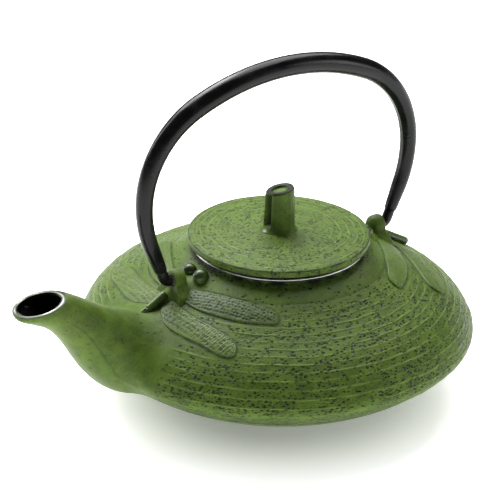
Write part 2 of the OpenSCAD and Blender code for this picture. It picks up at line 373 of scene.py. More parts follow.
IRON_RIDGED = green_iron("green_iron_ridged", pits=1.0, stipple=0.8, flat=2.2)
IRON_LID = green_iron("green_iron_lid", pits=0.6, stipple=1.4, pit_scale=760.0)
IRON_SMOOTH = green_iron("green_iron_smooth", pits=0.12, stipple=0.35)
IRON_WING = green_iron("green_iron_wing", pits=0.0, stipple=0.6, gloss=0.25)
IRON_GLOSS = green_iron("green_iron_gloss", pits=0.1, stipple=0.3, gloss=1.3)
BLACK = black_enamel("black_enamel_bail")
BLACK_LINING = black_enamel("black_enamel_lining", 0.07, 0.15)
STEEL = infuser_steel("infuser_steel_pressed", 0.26, 0.42)

# ---- Pot outline, base to rim, as shares of the belly radius and of the rim height ----
OUTER_SHAPE = [
    (0.44, 0), (0.467, 0.024), (0.536, 0.065), (0.628, 0.118), (0.73, 0.177),
    (0.826, 0.246), (0.907, 0.32), (0.965, 0.386), (1, 0.445), (0.99, 0.506),
    (0.955, 0.58), (0.901, 0.653), (0.832, 0.716), (0.739, 0.777), (0.637, 0.842),
    (0.549, 0.903), (0.485, 0.949), (0.444, 0.971), (0.427, 0.985), (0.425, 1)]
INNER_SHAPE = [
    (0.416, 0.069), (0.455, 0.083), (0.523, 0.119), (0.617, 0.17), (0.72, 0.23),
    (0.818, 0.292), (0.892, 0.355), (0.939, 0.409), (0.955, 0.45), (0.945, 0.497),
    (0.914, 0.562), (0.865, 0.625), (0.797, 0.68), (0.709, 0.733), (0.613, 0.79),
    (0.524, 0.848), (0.456, 0.889), (0.407, 0.918), (0.386, 0.945), (0.381, 1)]
SIZES = np.array([BELLY_R, RIM_Z])
OUTER = catmull(np.array(OUTER_SHAPE) * SIZES, 14)[::-1]
INNER = catmull(np.array(INNER_SHAPE) * SIZES, 6)
# Just inside the CAD box, so that ridges at the equator stay in it
OUTER[:, 0] -= 0.2 * smoothstep(86, 92, OUTER[:, 0])
OUTER_S = arclength(OUTER)
EQUATOR = int(OUTER[:, 0].argmax())


def on_outline(s):
    """Radius, height and outward normal of the pot's outline at a distance s from the rim."""
    s = np.asarray(s, float)
    r = np.interp(s, OUTER_S, OUTER[:, 0])
    z = np.interp(s, OUTER_S, OUTER[:, 1])
    step = 0.6
    dr = np.interp(s + step, OUTER_S, OUTER[:, 0]) - np.interp(s - step, OUTER_S, OUTER[:, 0])
    dz = np.interp(s + step, OUTER_S, OUTER[:, 1]) - np.interp(s - step, OUTER_S, OUTER[:, 1])
    size = np.hypot(dr, dz) + 1e-9
    return r, z, -dz / size, dr / size


def shoulder_s(r):
    """Distance from the rim along the outline, for a radius on the shoulder."""
    return np.interp(r, OUTER[:EQUATOR, 0], OUTER_S[:EQUATOR])


def shoulder_point(x, y, lift):
    """Point lifted off the shoulder above the plan position (x, y)."""
    x, y = np.asarray(x, float), np.asarray(y, float)
    rho = np.hypot(x, y)
    _, z, nr, nz = on_outline(shoulder_s(rho))
    return np.stack([x + x / rho * nr * lift, y + y / rho * nr * lift, z + nz * lift], -1)


def outside_pot(p):
    """How far points are outside the pot's outer surface; negative inside."""
    rho, z = np.hypot(p[..., 0], p[..., 1]), p[..., 2]
    up = OUTER[:EQUATOR + 1][::-1]
    low = OUTER[EQUATOR:]
    r_up = np.interp(z, up[:, 1], up[:, 0])
    r_low = np.interp(z, low[::-1, 1], low[::-1, 0])
    return rho - np.where(z > OUTER[EQUATOR, 1], r_up, r_low)


# ---- Spout: top point, bottom point and half width of each section, mouth to root ----
SECTIONS = [
    ((115.58, 76.7), (140.42, 72.5), 10.1), ((113.4, 75.9), (139.2, 69.6), 10.3),
    ((110.2, 74.2), (133.4, 66.6), 10.2), ((106.0, 71.7), (126.2, 62.8), 10.2),
    ((101.2, 68.7), (120.2, 57.2), 10.8), ((96.0, 65.5), (115.4, 50.4), 11.9),
    ((90.6, 62.5), (111.0, 43.0), 13.6), ((85.0, 59.9), (106.2, 35.6), 15.8),
    ((79.4, 57.6), (100.2, 28.6), 18.2), ((73.6, 55.4), (93.0, 23.0), 20.4),
    ((67.0, 53.0), (84.0, 19.4), 22.0), ((59.0, 49.6), (72.0, 17.0), 22.8)]
CHANNEL = (0.82, 0.82, 0.81, 0.8, 0.78, 0.76, 0.73, 0.69, 0.63, 0.56, 0.48, 0.42)
SPOUT_COLS = 144
SPOUT_A = turn_steps(SPOUT_COLS)
SPOUT_LINE = catmull([(t[0], t[1], b[0], b[1], w, c)
                      for (t, b, w), c in zip(SECTIONS, CHANNEL)], 10)


def section_ring(row, share):
    """Ring of points of one spout section, drawn in by share of its size."""
    tx, tz, bx, bz, w, _ = row
    cx, cz, hx, hz = (tx + bx) / 2, (tz + bz) / 2, (tx - bx) / 2 * share, (tz - bz) / 2 * share
    return np.stack([cx + hx * np.cos(SPOUT_A), w * share * np.sin(SPOUT_A),
                     cz + hz * np.cos(SPOUT_A)], -1)


SPOUT_RINGS = np.array([section_ring(row, 1.0) for row in SPOUT_LINE])
FILLET = 9.0


def spout_foot():
    """For each column: last ring before the fillet, where spout and pot meet, and the fillet's foot."""
    starts, meets, feet = [], [], []
    for k in range(SPOUT_COLS):
        line = SPOUT_RINGS[:, k]
        gap = outside_pot(line)
        i = int(np.argmax(gap < 0))
        t = gap[i - 1] / (gap[i - 1] - gap[i])
        meet = line[i - 1] + t * (line[i] - line[i - 1])
        back = np.linalg.norm(line - meet, axis=1)
        before = [j for j in range(i) if back[j] >= FILLET]
        starts.append(before[-1] if before else 0)
        meets.append(meet)
    meets = np.array(meets)
    middle = meets.mean(0)
    for meet in meets:
        away = meet - middle
        rho = math.hypot(meet[0], meet[1])
        s_here = OUTER_S[int(np.argmin(np.hypot(OUTER[:, 0] - rho, OUTER[:, 1] - meet[2])))]
        theta = math.atan2(meet[1], meet[0])
        _, _, nr, nz = on_outline(s_here)
        tangent_s = np.array([-nz * -math.cos(theta), -nz * -math.sin(theta), -nr])
        tangent_a = np.array([-math.sin(theta), math.cos(theta), 0])
        ds, da = away @ tangent_s, away @ tangent_a
        size = math.hypot(ds, da)
        s_foot = s_here + FILLET * ds / size
        theta_foot = theta + FILLET * da / size / rho
        r, z, _, _ = on_outline(s_foot)
        feet.append((r * math.cos(theta_foot), r * math.sin(theta_foot), z, s_foot, theta_foot,
                     s_here, theta))
    return np.array(starts), meets, np.array(feet)


SPOUT_START, SPOUT_MEET, SPOUT_FEET = spout_foot()


def spout_share(s, theta, which):
    """Distance from the middle of the spout's root over the pot, as a share of the outline's reach there.
    which is 3 for the fillet's foot and 5 for the line where the spout meets the pot."""
    edge_s, edge_y = SPOUT_FEET[:, which], SPOUT_FEET[:, which + 1] * 80
    mid = SPOUT_FEET[:, 5].mean()
    angle = np.arctan2(edge_y, edge_s - mid)
    reach = np.hypot(edge_y, edge_s - mid)
    order = np.argsort(angle)
    angle = np.concatenate([angle[order] - 2 * math.pi, angle[order], angle[order] + 2 * math.pi])
    reach = np.tile(reach[order], 3)
    y = theta * 80
    return np.hypot(y, s - mid) / np.interp(np.arctan2(y, s - mid), angle, reach)


# ---- Wings in plan on the +X side; rails run from the root to the tip ----
FORE_WING = [
    (53, 4.4), (50.4, 10), (46.4, 18), (41.6, 27), (35.8, 36.4), (31.9, 42.4), (31.6, 47),
    (34.6, 49.2), (40, 45.4), (47, 38.4), (53.2, 28.6), (57, 19.6), (58.4, 11.4), (57.6, 4.4)]
HIND_WING = [
    (60.6, 4), (60.6, 13), (59.4, 22), (56.9, 32), (54.3, 42), (54.5, 47.6), (57.4, 50.6),
    (61, 49.2), (64.2, 43.6), (67, 34.6), (70.2, 24), (71.4, 15), (70.2, 9), (66.8, 3)]
# The tip is this point of either outline
WING_TIP = 6
WING_OUTLINES = [catmull(w, 10, closed=True) for w in (FORE_WING, HIND_WING)]


def near_outline(x, y, outline):
    """Distance from plan points to a closed outline."""
    p = np.stack([x.ravel(), y.ravel()], -1)
    best = np.full(len(p), 1e9)
    for a, b in zip(outline, np.roll(outline, -1, 0)):
        ab = b - a
        t = np.clip(((p - a) @ ab) / (ab @ ab), 0, 1)
        best = np.minimum(best, np.hypot(*(p - a - t[:, None] * ab).T))
    return best.reshape(x.shape)


# ---- Ridges of the pot ----
POT_COLS = 600
POT_A = turn_steps(POT_COLS)
SEAM_S = float(np.interp(-22.4, -OUTER[:, 1], OUTER_S))
RIDGE_PITCH = 4.0
RIDGE_FIRST = float(shoulder_s(55.0))
RIDGE_COUNT = int((np.interp(-30.0, -OUTER[:, 1], OUTER_S) - RIDGE_FIRST) / RIDGE_PITCH) + 1


def pot_rows():
    """Distances from the rim of the grid's rows, and the middle, height and width of each ridge."""
    ridges = [(RIDGE_FIRST + RIDGE_PITCH * k, 0.27, 0.29) for k in range(RIDGE_COUNT)]
    last = ridges[-1][0]
    ridges += [(last + 2.0, 0.2, 0.28), (last + 3.8, 0.26, 0.3), (last + 5.6, 0.2, 0.28)]
    rows = list(np.linspace(0, RIDGE_FIRST - 2.2, 26))
    for s, _, _ in ridges:
        close = s > last
        rows += [s + d for d in ((-0.8, -0.4, 0, 0.4, 0.8) if close
                                 else (-1.6, -0.85, -0.45, -0.22, 0, 0.22, 0.45, 0.85, 1.6))]
    rows = sorted(r for r in rows if r < SEAM_S - 0.5)
    rows += [SEAM_S - 0.45, SEAM_S - 0.2, SEAM_S]
    return np.array(rows), ridges


def pot_surface(s, ridges):
    """Grid of the pot's outside at the distances s, with its ridges, collar step and cast waviness."""
    theta = np.arctan2(np.sin(POT_A), np.cos(POT_A))
    wander = 0.32 * Wave(11, 2, 7)(POT_A) + 0.14 * Wave(12, 9, 26)(POT_A)
    room = smoothstep(RIDGE_FIRST - 4, RIDGE_FIRST + 3, s) * (1 - smoothstep(SEAM_S - 3, SEAM_S - 1, s))
    s_grid = s[:, None] + room[:, None] * wander[None, :]
    r, z, nr, nz = on_outline(s_grid)
    lift = np.zeros_like(s_grid)
    crest = np.zeros_like(s_grid)
    for k, (at, height, width) in enumerate(ridges):
        fade = 0.72 + 0.34 * Wave(30 + k, 2, 14)(POT_A)
        shape = bell(s[:, None] - at, width) * np.clip(fade, 0.15, 1.25)
        lift += height * shape
        crest += shape
    keep = smoothstep(1.0, 1.28, spout_share(s_grid, theta[None, :], 3))
    x0, y0 = r * np.cos(POT_A), r * np.sin(POT_A)
    close = (np.abs(x0) > 24) & (np.abs(y0) < 58) & (z > 40) & (np.hypot(x0, y0) < 84)
    wing_gap = np.full(x0.shape, 9.0)
    for outline in WING_OUTLINES:
        gap = near_outline(np.abs(x0[close]), np.abs(y0[close]), outline)
        wing_gap[close] = np.minimum(wing_gap[close], gap)
    keep *= 0.15 + 0.85 * smoothstep(1.2, 3.6, wing_gap)
    lift *= keep
    # Shallow step of the smooth collar band
    step = bell(s[:, None] - float(shoulder_s(50.3)), 0.55)
    lift -= 0.2 * step
    lift += 0.07 * Wave(71, 20, 60)(POT_A + 0.4 * s_grid / 10) * keep * room[:, None]
    lift -= 0.35 * bell(s[:, None] - SEAM_S, 0.4) * np.ones(POT_COLS)
    points = np.stack([(r + nr * lift) * np.cos(POT_A), (r + nr * lift) * np.sin(POT_A),
                       z + nz * lift], -1)
    # Painted shade in the groove of the collar step
    dark = 0.25 * step * np.ones(POT_COLS)
    # Random strength shared by the painted shadow under the ring and by the seam's dark lines
    grime_and_shade = 0.75 + 0.35 * Wave(5, 3, 30)(POT_A)
    # Painted shadow under the steel ring: the collar just below the rim is darkened
    under_ring = (1 - smoothstep(1.4, 4.0, s)) * 0.95 + 0.12 * (1 - smoothstep(2.0, 8.0, s))
    dark = np.maximum(dark, under_ring[:, None] * grime_and_shade)
    dark = np.maximum(dark, 0.9 * bell(s[:, None] - SEAM_S, 0.5) * grime_and_shade)
    dark = np.maximum(dark, 0.7 * bell(s[:, None] - SEAM_S + 1.9, 0.35) * grime_and_shade)
    dark = np.maximum(dark, 0.22 * smoothstep(SEAM_S - 12, SEAM_S - 9, s)[:, None]
                      * (1 - smoothstep(SEAM_S - 6, SEAM_S - 4, s))[:, None] * grime_and_shade * keep)
    # Painted shade in the crease round each wing, broken into patches
    patchy = np.clip(0.62 + 0.5 * Wave(6, 20, 90)(POT_A + 0.09 * s_grid), 0.15, 1)
    dark = np.maximum(dark, 0.85 * (1 - smoothstep(0.15, 0.8, wing_gap)) * patchy)
    calm = 1 - keep
    collar = (1 - smoothstep(RIDGE_FIRST - 7, RIDGE_FIRST - 3, s) * 0.6)[:, None] * 0.8
    collar = collar * smoothstep(3, 6, s)[:, None]
    calm = np.maximum(calm, collar * (1 - smoothstep(RIDGE_FIRST - 3, RIDGE_FIRST, s))[:, None])
    calm = np.maximum(calm, smoothstep(SEAM_S + 0.5, SEAM_S + 3, s)[:, None] * 0.9)
    band = smoothstep(SEAM_S - 13, SEAM_S - 10, s) * (1 - smoothstep(SEAM_S - 4, SEAM_S - 2.5, s))
    calm = calm - 0.8 * band[:, None] * keep
    return points, np.clip(crest * keep, 0, 1), np.clip(dark, 0, 1), np.clip(calm, -0.8, 1)


def keep_outside_spout(middles):
    """True for faces of the pot's outside that the spout does not cover."""
    rho = np.hypot(middles[:, 0], middles[:, 1])
    theta = np.arctan2(middles[:, 1], middles[:, 0])
    s = np.array([OUTER_S[np.argmin(np.hypot(OUTER[:, 0] - a, OUTER[:, 1] - b))]
                  if abs(t) < 0.5 and a > 55 else -1.0 for a, b, t in zip(rho, middles[:, 2], theta)])
    return (s < 0) | (spout_share(s, theta, 5) > 0.9)


def make_pot():
    rows, ridges = pot_rows()
    points, crest, dark, calm = pot_surface(rows, ridges)
    shoulder = Build()
    shoulder.grid(points, flip=False, keep=keep_outside_spout, crest=crest, dark=dark, calm=calm)
    shoulder.make("pot_shoulder", "pot", IRON_RIDGED, ["pot_body"])
    # Belly, from the seam to the foot, then the underside with its ring groove
    end = OUTER_S[-1]
    s = np.concatenate([[SEAM_S, SEAM_S + 0.2, SEAM_S + 0.45], np.linspace(SEAM_S + 1, end - 1.2, 46),
                        [end - 0.6, end - 0.2, end]])
    points, crest, dark, calm = pot_surface(s, [(SEAM_S + 2.4, 0.15, 0.3)])
    points[-1, :, 2] = 0.0
    under = turned(np.array([(40.2, 0.0), (35.4, 0.0), (35.0, 0.25), (35.0, 0.9), (34.6, 1.0),
                             (29.4, 1.0), (29.0, 0.9), (29.0, 0.25), (28.6, 0.0), (12.0, 0.0)]), POT_COLS)
    both = np.concatenate([points, under])
    belly = Build()
    none = np.zeros(under.shape[:2])
    belly.grid(both, keep=keep_outside_spout, crest=np.concatenate([crest, none]),
               dark=np.concatenate([dark, none]), calm=np.concatenate([calm, none + 0.9]))
    belly.cap(under[-1])
    belly.make("pot_belly", "pot", IRON_RIDGED)


def make_lining():
    """Inside of the pot: black lacquer, with the port into the spout."""
    rim = near(0, RIM_Z, [(39.3, -0.35), (38.9, -0.1), (38.2, 0), (36.4, 0), (35.9, -0.2)])
    profile = np.vstack([rim, INNER[::-1][1:]])
    cols = 192
    points = turned(profile, cols)
    axis = np.array([math.cos(math.radians(14)), 0, math.sin(math.radians(14))])

    def keep(middles):
        rel = middles - np.array([60.0, 0, 32.0])
        along = rel @ axis
        off = np.linalg.norm(rel - along[:, None] * axis, axis=1)
        return ~((off < 12.0) & (along > 0))

    lining = Build()
    lining.grid(points, keep=keep)
    lining.cap(points[-1])
    lining.make("pot_lining", "pot", BLACK_LINING)


def make_spout():
    rows, dark, worn = [], [], []
    last = int(SPOUT_START.min())
    # Rounded lip: a short arc from the mouth's inner edge over to the outside
    mouth = SPOUT_LINE[0]
    for share, drop, rubbed, shade in ((0.83, 1.0, 0, 1.0), (0.84, 0.4, 0, 1.0), (0.86, 0.1, 0.3, 0.9),
                                       (0.9, 0.0, 0.75, 0.5), (0.94, 0.1, 0.45, 0.7), (0.975, 0.45, 0, 0.95)):
        ring = section_ring(mouth, share)
        ring[:, 2] -= drop + 0.05
        rows.append(ring)
        worn.append(rubbed)
        dark.append(shade)
    for i in range(2, last + 1):
        rows.append(SPOUT_RINGS[i])
        worn.append(0.0)
        dark.append(0.85 if i == 2 else 0.45 if i == 3 else 0.15 if i == 4 else 0.0)
    lip_rows = len(rows)
    # Each column then runs on to its own fillet start, and the fillet runs down to the pot
    steps = 10
    runs = np.zeros((steps + 14, SPOUT_COLS, 3))
    for k in range(SPOUT_COLS):
        line = SPOUT_RINGS[last:SPOUT_START[k] + 1, k]
        if len(line) > 1:
            at = arclength(line)
            t = np.linspace(0, at[-1], steps + 1)[1:]
            part = np.stack([np.interp(t, at, line[:, c]) for c in range(3)], -1)
        else:
            part = line[0] + np.linspace(0.02, 0.1, steps)[:, None] * (SPOUT_RINGS[last + 1, k] - line[0])
        runs[:steps, k] = part
        a, b, c = part[-1], SPOUT_MEET[k], SPOUT_FEET[k, :3]
        out = np.array([c[0], c[1], 0]) / math.hypot(c[0], c[1])
        for j in range(14):
            t = (j + 1) / 14
            point = (1 - t) ** 2 * a + 2 * t * (1 - t) * b + t * t * c
            runs[steps + j, k] = point - out * 0.18 * smoothstep(0.86, 1.0, t)
    grid = np.concatenate([np.array(rows), runs])
    n = len(grid)
    dark_grid = np.zeros((n, SPOUT_COLS))
    worn_grid = np.zeros((n, SPOUT_COLS))
    rub = 0.75 + 0.35 * Wave(3, 1, 9)(SPOUT_A)
    dark_grid[:lip_rows] = np.array(dark)[:, None] * (0.8 + 0.2 * Wave(4, 1, 9)(SPOUT_A))
    worn_grid[:lip_rows] = np.clip(np.array(worn)[:, None] * rub, 0, 1)
    # Parting line down both flanks, carrying on the pot's own seam
    down = np.linspace(0, 1, n)[:, None]
    turn = np.abs(np.arctan2(np.sin(SPOUT_A), np.cos(SPOUT_A)))[None, :]
    seam_at = math.radians(100) + math.radians(26) * smoothstep(0.4, 1.0, down)
    seam = bell(turn - seam_at, 0.035) * smoothstep(0.22, 0.5, down)
    dark_grid = np.maximum(dark_grid, 0.6 * seam * (0.75 + 0.25 * Wave(8, 3, 20)(down[:, 0] * 6))[:, None])
    spout = Build()
    spout.grid(grid, dark=np.clip(dark_grid, 0, 1), worn=worn_grid)
    spout.make("spout_skin", "pot", IRON_SMOOTH, ["spout"])
    # Channel from the mouth into the pot
    tube = []
    for row in SPOUT_LINE:
        tube.append(section_ring(row, row[5]))
    tube[0][:, 2] -= 1.0
    root = tube[-1]
    for push, grow in ((2.5, 1.0), (3.2, 1.12), (3.3, 1.3)):
        ring = root.mean(0) + (root - root.mean(0)) * grow + np.array([-push, 0, -0.4 * push])
        tube.append(ring)
    channel = Build()
    channel.grid(np.array(tube), flip=True)
    channel.make("spout_lining", "pot", BLACK_LINING)


# ---- Dragonfly reliefs ----
def wing_grid(outline_points, style, side, mirror_x, seed):
    """One wing: grid between its two long edges, raised over the shoulder with its pattern of scales."""
    curve = catmull(outline_points, 12, closed=True)
    n = len(outline_points)
    tip_at = WING_TIP * 12
    first = curve[:tip_at + 1]
    second = curve[tip_at:(n - 1) * 12 + 1][::-1]
    nu, nv = 190, 46

    def along(rail, t):
        at = arclength(rail) / arclength(rail)[-1]
        return np.stack([np.interp(t, at, rail[:, c]) for c in range(2)], -1)

    t = np.linspace(0, 1, nu)
    t = 1 - (1 - t) ** 1.5
    a, b = along(first, t), along(second, t)
    v = 0.5 - 0.5 * np.cos(np.pi * np.linspace(0, 1, nv))
    v = 0.45 * v + 0.55 * np.linspace(0, 1, nv)
    plan = a[:, None, :] * (1 - v[None, :, None]) + b[:, None, :] * v[None, :, None]
    x, y = plan[..., 0], plan[..., 1]
    edge = near_outline(x, y, curve)
    lift = -0.35 + 1.15 * smoothstep(0.0, 0.75, edge) + 0.25 * smoothstep(0.5, 4.0, edge)
    # Scales: hollows on a staggered lattice along the wing
    axis = (a[-1] + b[-1]) / 2 - (a[0] + b[0]) / 2
    axis /= np.linalg.norm(axis)
    p = x * axis[0] + y * axis[1]
    q = -x * axis[1] + y * axis[0]
    rng = np.random.default_rng(seed)
    inside = smoothstep(0.7, 1.3, edge)
    if style == "veins":
        ring = np.hypot(p - p.min() - 6, q - q.mean()) + 0.5 * Wave(seed, 2, 9)(q / 3)
        wave = 0.5 - 0.5 * np.cos(2 * math.pi * ring / 1.45)
        lift -= 0.16 * wave * inside
        dark = 0.32 * wave * inside
    else:
        pitch_p, pitch_q = {"scales": (1.6, 1.45), "wrinkles": (1.25, 1.9), "fine": (1.3, 1.15)}[style]
        row = np.round(q / pitch_q)
        shift = rng.uniform(0, 1, 97)[(row % 97).astype(int)]
        col = np.round(p / pitch_p - shift)
        table = rng.uniform(-1, 1, (97, 89, 3))
        jitter = table[(row % 97).astype(int), (col % 89).astype(int)]
        dp = p - (col + shift) * pitch_p - 0.36 * jitter[..., 0]
        dq = q - row * pitch_q - 0.32 * jitter[..., 1]
        wide_p, wide_q = {"scales": (0.6, 0.5), "wrinkles": (0.36, 0.74), "fine": (0.42, 0.34)}[style]
        hollow = np.exp(-((dp / wide_p) ** 2 + (dq / wide_q) ** 2)) * (0.66 + 0.42 * jitter[..., 2])
        lift -= {"scales": 0.22, "wrinkles": 0.34, "fine": 0.22}[style] * hollow * inside
        dark = {"scales": 1.25, "wrinkles": 0.75, "fine": 0.6}[style] * hollow * inside
        dark += 0.2 * inside * (style == "scales")
    # Painted shade in the crease along the wing's edge, fainter on the front dragonfly's far wings
    rim_dark = 1.0 if side > 0 or mirror_x < 0 else 0.45
    dotted = np.clip(0.55 + 0.6 * Wave(seed + 3, 20, 70)(p / 12), 0.1, 1)
    dark = np.maximum(dark, rim_dark * (1 - smoothstep(0.1, 0.7, edge)) * dotted)
    points = shoulder_point(x, y, lift)
    points[..., 1] *= side
    points[..., 0] *= mirror_x
    # Painted glints: the raised parts of the wrinkled and fine wings are given a lighter colour
    light = {"scales": 0.0, "wrinkles": 0.18}.get(style, 0.1) * smoothstep(0.6, 1.4, edge) * (1 - dark)
    return points, np.clip(dark, 0, 1), light


def make_dragonfly(which, mirror_x):
    wings = Build()
    for side in (1, -1):
        styles = ("scales", "wrinkles") if side > 0 else ("veins", "wrinkles")
        if mirror_x < 0:
            styles = ("fine", "fine")
        for outline, style, seed in ((FORE_WING, styles[0], 21), (HIND_WING, styles[1], 22)):
            points, dark, light = wing_grid(outline, style, side, mirror_x, seed)
            wings.grid(points, around=False, flip=(side * mirror_x > 0), dark=dark, crest=light)
    wings.make(which + "_wings", "pot", IRON_WING, [which])
    # Head and two eyes
    head = Build()
    for cx, cy, cz, rx, ry, rz in ((46.4, 5.0, 68.8, 3.8, 3.6, 3.7), (46.4, -4.2, 68.4, 3.4, 3.3, 3.3),
                                   (48.0, 0.3, 65.8, 3.8, 4.4, 1.8)):
        lat = np.linspace(-1.35, math.pi / 2 - 0.001, 34)[:, None]
        lon = turn_steps(56)[None, :]
        swell = 1 + 0.035 * np.sin(3 * lon + cy) * np.cos(lat) - 0.05 * smoothstep(-0.4, -0.9, lat)
        ball = np.stack([cx + rx * swell * np.cos(lat) * np.cos(lon),
                         cy + ry * swell * np.cos(lat) * np.sin(lon),
                         cz + rz * np.sin(lat) * np.ones_like(lon)], -1)
        ball[..., 0] *= mirror_x
        shade = 0.85 * smoothstep(-0.7, 0.5, lat) * (0.8 + 0.2 * np.sin(2 * lon + 1)) * np.ones_like(lon)
        head.grid(ball, flip=mirror_x > 0, dark=np.clip(shade * (1.0 if abs(cy) > 1 else 0.1), 0, 1))
    head.make(which + "_eyes", "pot", IRON_GLOSS)
    # Tail: a slightly flattened bar with rounded ends
    aim = np.array([math.sin(math.radians(119)), 0, math.cos(math.radians(119))])
    t = np.array([-0.9, -0.85, -0.6, 0.0, 1.2, 4, 7, 10, 12.6, 13.9, 14.5, 14.75, 14.8])
    wide = np.array([0.3, 1.2, 1.75, 2.0, 2.05, 2.0, 1.95, 1.95, 1.95, 1.85, 1.6, 1.1, 0.2])
    t = np.stack([t, wide], -1)
    path = np.array([62.2, 0, 60.6]) + t[:, :1] * aim + np.array([0.6, 0, 1.3])
    rings = swept(path, t[:, 1], 40)
    rings[..., 1] *= 0.95
    rings[..., 0] *= mirror_x
    tail = Build()
    # Painted shade: the bar's two sides are darkened, its top left light
    painted_side_shade = smoothstep(0.6, 1.0, np.abs(np.sin(np.arange(40) * math.pi / 20)))
    tail.grid(rings, flip=mirror_x > 0, dark=0.7 * painted_side_shade[None, :] * np.ones((len(t), 1)))
    tail.make(which + "_tail", "pot", IRON_GLOSS)


def make_lug(which, mirror_x):
    """Ear, blind on the side of the lid and with a round eye outside, growing out of a low hump."""
    lug = Build()
    cols = 128
    phi = turn_steps(cols)
    down = smoothstep(0.18, 0.95, -np.sin(phi))
    reach = LUG_R + 8.6 * down
    inner, outer = LUG_X - 4.7, LUG_X + LUG_HALF
    # Along the section: share of the reach, distance from the inner face, and bore depth
    section = [(0.0, 0.0), (0.35, 0.12), (0.58, 0.4), (0.76, 0.95), (0.88, 1.7), (0.96, 2.7), (1.0, 3.9),
               (1.0, 4.8), (1.0, 5.6), (0.99, 6.1), (0.965, 6.55), (0.92, 6.85), (0.86, 7.0), (0.75, 7.0)]
    rows, shade = [], []
    for share, along in section:
        rho = np.maximum(0.02, share * reach)
        flare = 1 + 0.7 * smoothstep(5.0, 12.5, rho) * down
        x = (inner + outer) / 2 + (inner + along - (inner + outer) / 2) * flare
        rows.append(np.stack([x, rho * np.cos(phi) * (1 + 0.3 * smoothstep(5.0, 12.0, rho)),
                              PIVOT_Z + rho * np.sin(phi)], -1))
        shade.append(0.0 * phi)
    # The blind eye: radius and depth
    eye = ((3.35, 0.0), (3.0, 0.08), (2.78, 0.3), (2.66, 0.7), (2.64, 5.3), (2.3, 5.4), (0.02, 5.4))
    for rho, depth in eye:
        rows.append(np.stack([outer - depth + 0 * phi, rho * np.cos(phi), PIVOT_Z + rho * np.sin(phi)], -1))
        shade.append(0.35 + 0.6 * smoothstep(0.1, 1.0, depth) + 0 * phi)
    grid = np.array(rows)
    dark = np.array(shade)
    above = smoothstep(PIVOT_Z + 2.2, PIVOT_Z + 4.9, grid[..., 2]) * (0.75 if mirror_x < 0 else 0.35)
    dark = np.maximum(dark, above * (0.7 + 0.3 * Wave(17, 3, 20)(phi))[None, :])
    worn = np.zeros_like(dark)
    worn[-6] = np.clip(0.5 + 0.5 * np.sin(phi - 0.6), 0, 1) * 0.9
    grid[..., 0] *= mirror_x
    lug.grid(grid, flip=mirror_x > 0, dark=np.clip(dark, 0, 1), worn=worn)
    # Hump under the ear
    r = np.linspace(0.01, 11.5, 32)[:, None]
    a = turn_steps(96)[None, :]
    x, y = LUG_X - 1.4 + r * np.cos(a), r * np.sin(a) * 0.95
    lift = 4.4 * (1 - smoothstep(0.0, 11.0, r)) ** 1.1 - 0.2 * smoothstep(10.0, 11.5, r) + 0 * a
    hump = shoulder_point(x, y, lift)
    hump[..., 0] *= mirror_x
    lug.grid(hump, flip=mirror_x > 0)
    lug.make(which + "_ear", "pot", IRON_SMOOTH, [which])


# ---- Lid and knob ----
DOME_H = LID_TOP_Z - LID_EDGE_Z
DOME_R = (LID_R ** 2 + DOME_H ** 2) / (2 * DOME_H)


def dome_z(r):
    return LID_EDGE_Z + DOME_H - DOME_R + np.sqrt(DOME_R ** 2 - np.asarray(r, float) ** 2)


